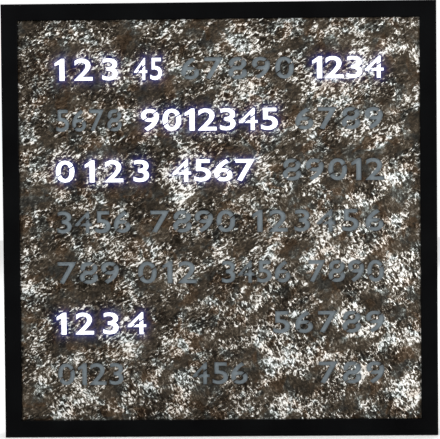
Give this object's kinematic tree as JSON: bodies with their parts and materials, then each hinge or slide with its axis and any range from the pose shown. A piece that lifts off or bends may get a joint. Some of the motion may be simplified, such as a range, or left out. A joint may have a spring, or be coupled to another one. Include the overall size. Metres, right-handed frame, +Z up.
{
  "type": "word clock",
  "caption": "Square wall clock whose lit figures shine through a stencil cut metal face in a deep black box frame.",
  "frame": {"origin": "centre of the wall plane, which the faces of the four rubber feet touch, in the middle of the square frame", "axes": "+Z up, +X to the right seen from the front, the lit face looks along -Y and the wall is on the +Y side"},
  "size_m": [0.5, 0.056, 0.5],
  "materials": {
    "black_lacquered_wood": "satin black lacquer on wood",
    "zinc_steel": "bright zinc plated steel",
    "black_rubber": "soft black rubber",
    "stencil_metal": "crumpled metal leaf on a cut sheet",
    "opal_acrylic": "opal acrylic, lit from behind in part",
    "white_foam_board": "matt white board",
    "pine": "planed softwood",
    "hardboard": "oiled hardboard",
    "lamp_strip": "white coated circuit strip",
    "ribbon_wire": "flat three way wire",
    "circuit_board": "green solder resist",
    "black_plastic": "moulded black plastic",
    "grey_plastic": "moulded grey plastic",
    "shield_can": "tinned shield can",
    "cell_steel": "nickel plated cell can",
    "nickel": "bright nickel plating",
    "brass_post": "turned brass"
  },
  "bodies": {
    "case": {"frame_top_rail": "black_lacquered_wood", "frame_right_rail": "black_lacquered_wood", "frame_bottom_rail": "black_lacquered_wood", "frame_left_rail": "black_lacquered_wood", "corner_braces": "zinc_steel", "corner_brace_screws": "zinc_steel", "wall_bumpers": "black_rubber", "face_plate": "stencil_metal", "diffuser_sheet": "opal_acrylic", "baffle_grid": "white_foam_board", "front_spacers": "pine", "led_carrier": "white_foam_board", "strip_ribbons": "ribbon_wire", "rear_spacers": "pine", "controller_board": "circuit_board", "board_posts": "brass_post", "board_screws": "zinc_steel", "button_switches": "black_plastic", "coin_cell_holder": "black_plastic", "coin_cell": "cell_steel", "supply_capacitor": "shield_can", "dc_socket": "nickel", "dc_socket_nut": "nickel", "power_lead": "black_plastic", "led_lead": "black_plastic", "back_panel": "hardboard", "back_panel_screws": "zinc_steel", "hanger_strap_left": "zinc_steel", "hanger_strap_right": "zinc_steel", "hanger_screws": "zinc_steel", "processor_module": "shield_can", "clock_chip": "black_plastic", "power_connector": "grey_plastic", "led_connector": "grey_plastic", "led_strip_row_1": "lamp_strip", "led_strip_row_2": "lamp_strip", "led_strip_row_3": "lamp_strip", "led_strip_row_4": "lamp_strip", "led_strip_row_5": "lamp_strip", "led_strip_row_6": "lamp_strip", "led_strip_row_7": "lamp_strip"},
    "hour_button": {"hour_button": "black_plastic"},
    "minute_button": {"minute_button": "black_plastic"},
    "brightness_button": {"brightness_button": "black_plastic"},
    "ring_left": {"hanger_ring_left": "zinc_steel"},
    "ring_right": {"hanger_ring_right": "zinc_steel"}
  },
  "joints": [
    {"name": "hour_button_press", "type": "slide", "parent": "case", "child": "hour_button", "axis": [0, -1, 0], "range_m": [0, 0.0012], "stiffness_N_per_m": 400, "springref_m": -0.0012},
    {"name": "minute_button_press", "type": "slide", "parent": "case", "child": "minute_button", "axis": [0, -1, 0], "range_m": [0, 0.0012], "stiffness_N_per_m": 400, "springref_m": -0.0012},
    {"name": "brightness_button_press", "type": "slide", "parent": "case", "child": "brightness_button", "axis": [0, -1, 0], "range_m": [0, 0.0012], "stiffness_N_per_m": 400, "springref_m": -0.0012},
    {"name": "hanger_left_swing", "type": "hinge", "parent": "case", "child": "ring_left", "pos_m": [-0.2425, -0.0033, 0.18], "axis": [1, 0, 0], "range_deg": [0, 180]},
    {"name": "hanger_right_swing", "type": "hinge", "parent": "case", "child": "ring_right", "pos_m": [0.2425, -0.0033, 0.18], "axis": [1, 0, 0], "range_deg": [0, 180]}
  ]
}
